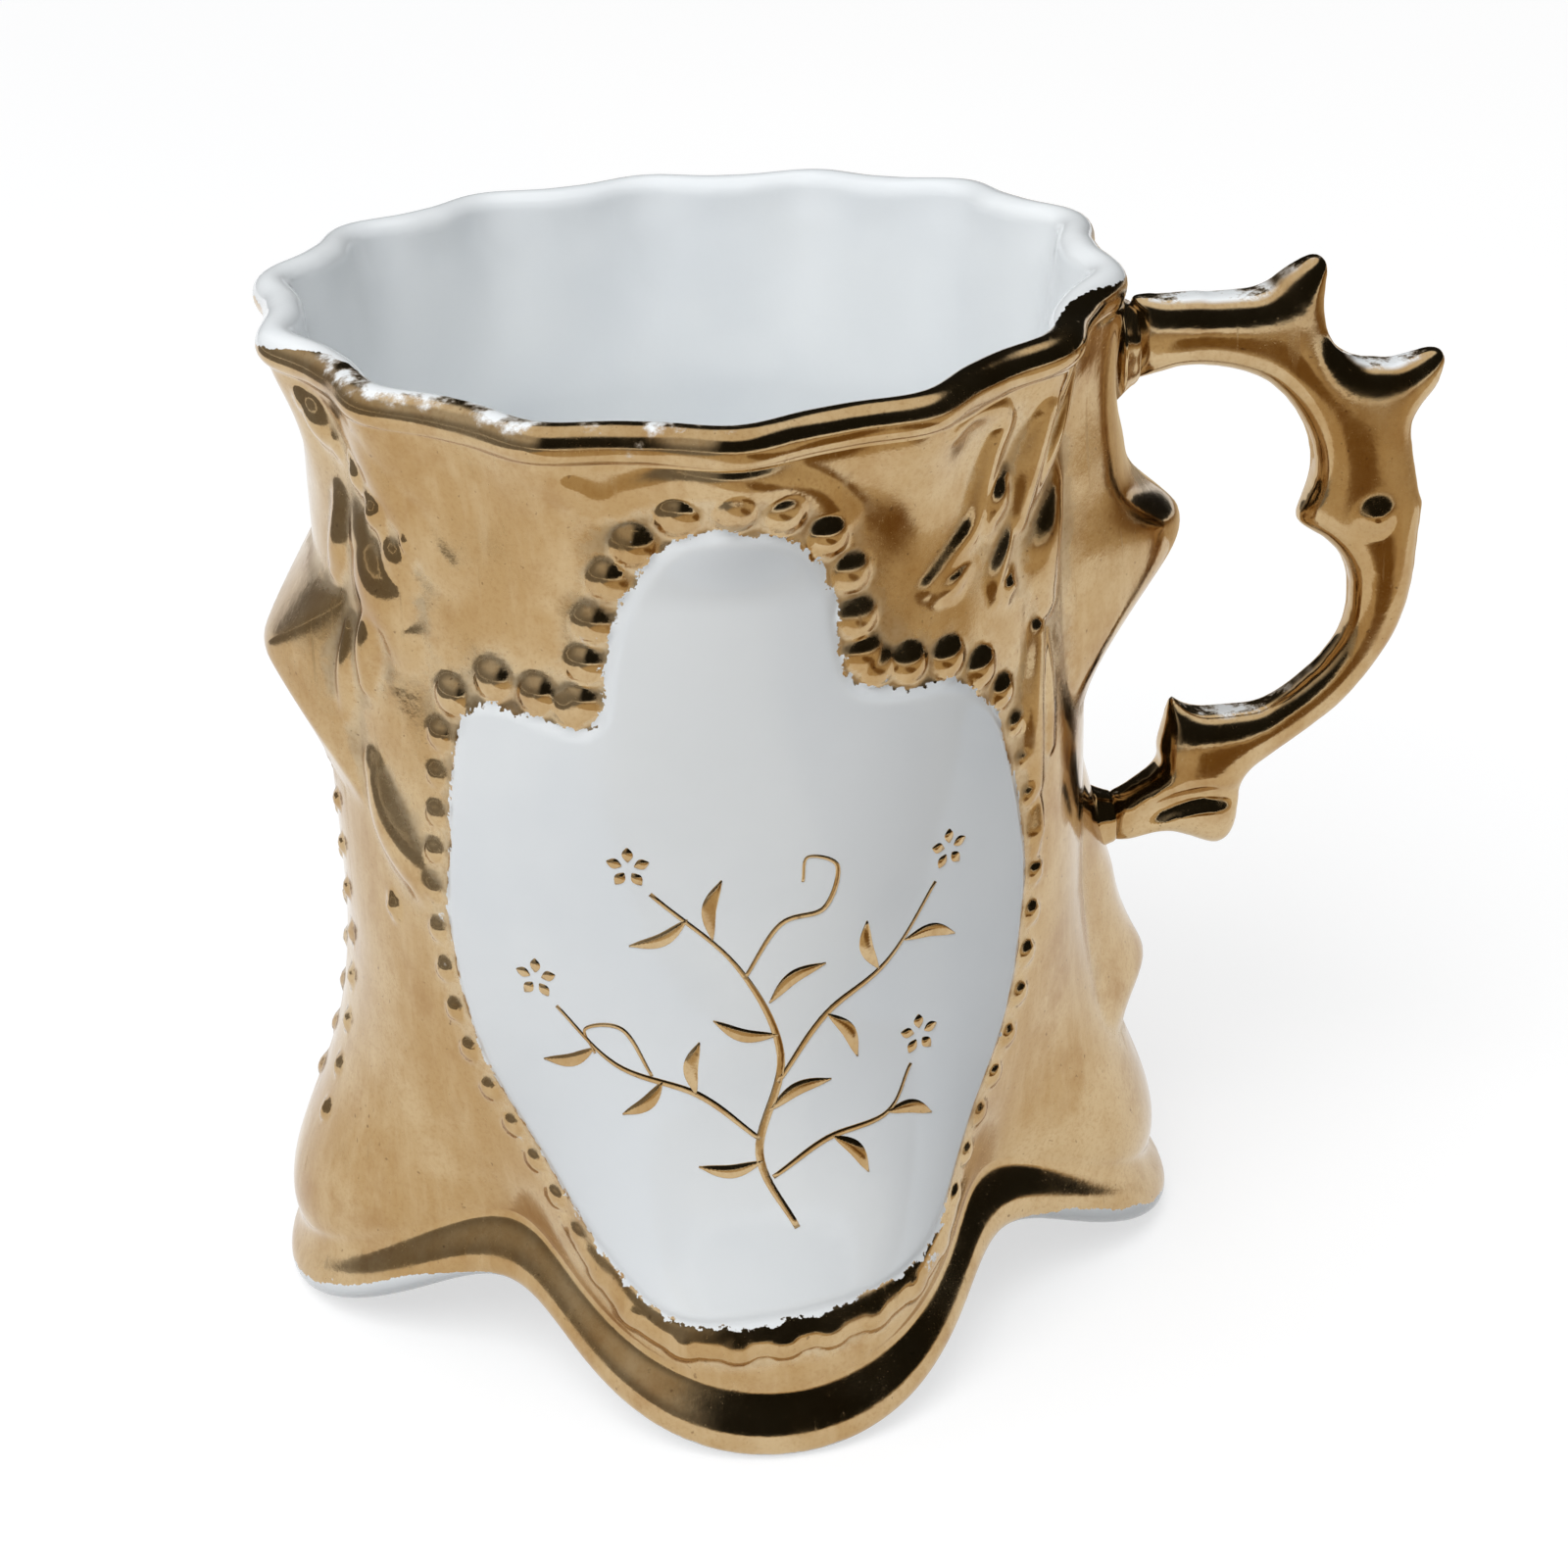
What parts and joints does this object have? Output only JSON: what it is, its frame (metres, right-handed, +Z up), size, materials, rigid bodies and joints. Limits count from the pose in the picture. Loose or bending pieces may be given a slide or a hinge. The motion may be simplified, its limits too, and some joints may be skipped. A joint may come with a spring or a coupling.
{
  "type": "china cup",
  "caption": "Small gold-lustred porcelain cup with a wavy rim, a raised shield panel, a flared footed base and a branch handle.",
  "frame": {"origin": "on the table, under the middle of the box that the cup and its handle fill", "axes": "+Z up, +X towards the handle, -Y towards the front panel"},
  "size_m": [0.089, 0.068, 0.0768],
  "materials": {
    "lustred_porcelain": "porcelain, gold lustre outside and white glaze inside",
    "lustred_handle": "porcelain with gold lustre",
    "lustred_slip": "porcelain slip with gold lustre"
  },
  "bodies": {
    "root": {"cup_body": "lustred_porcelain", "handle": "lustred_handle", "upper_handle_slip": "lustred_slip", "lower_handle_slip": "lustred_slip"}
  },
  "joints": []
}
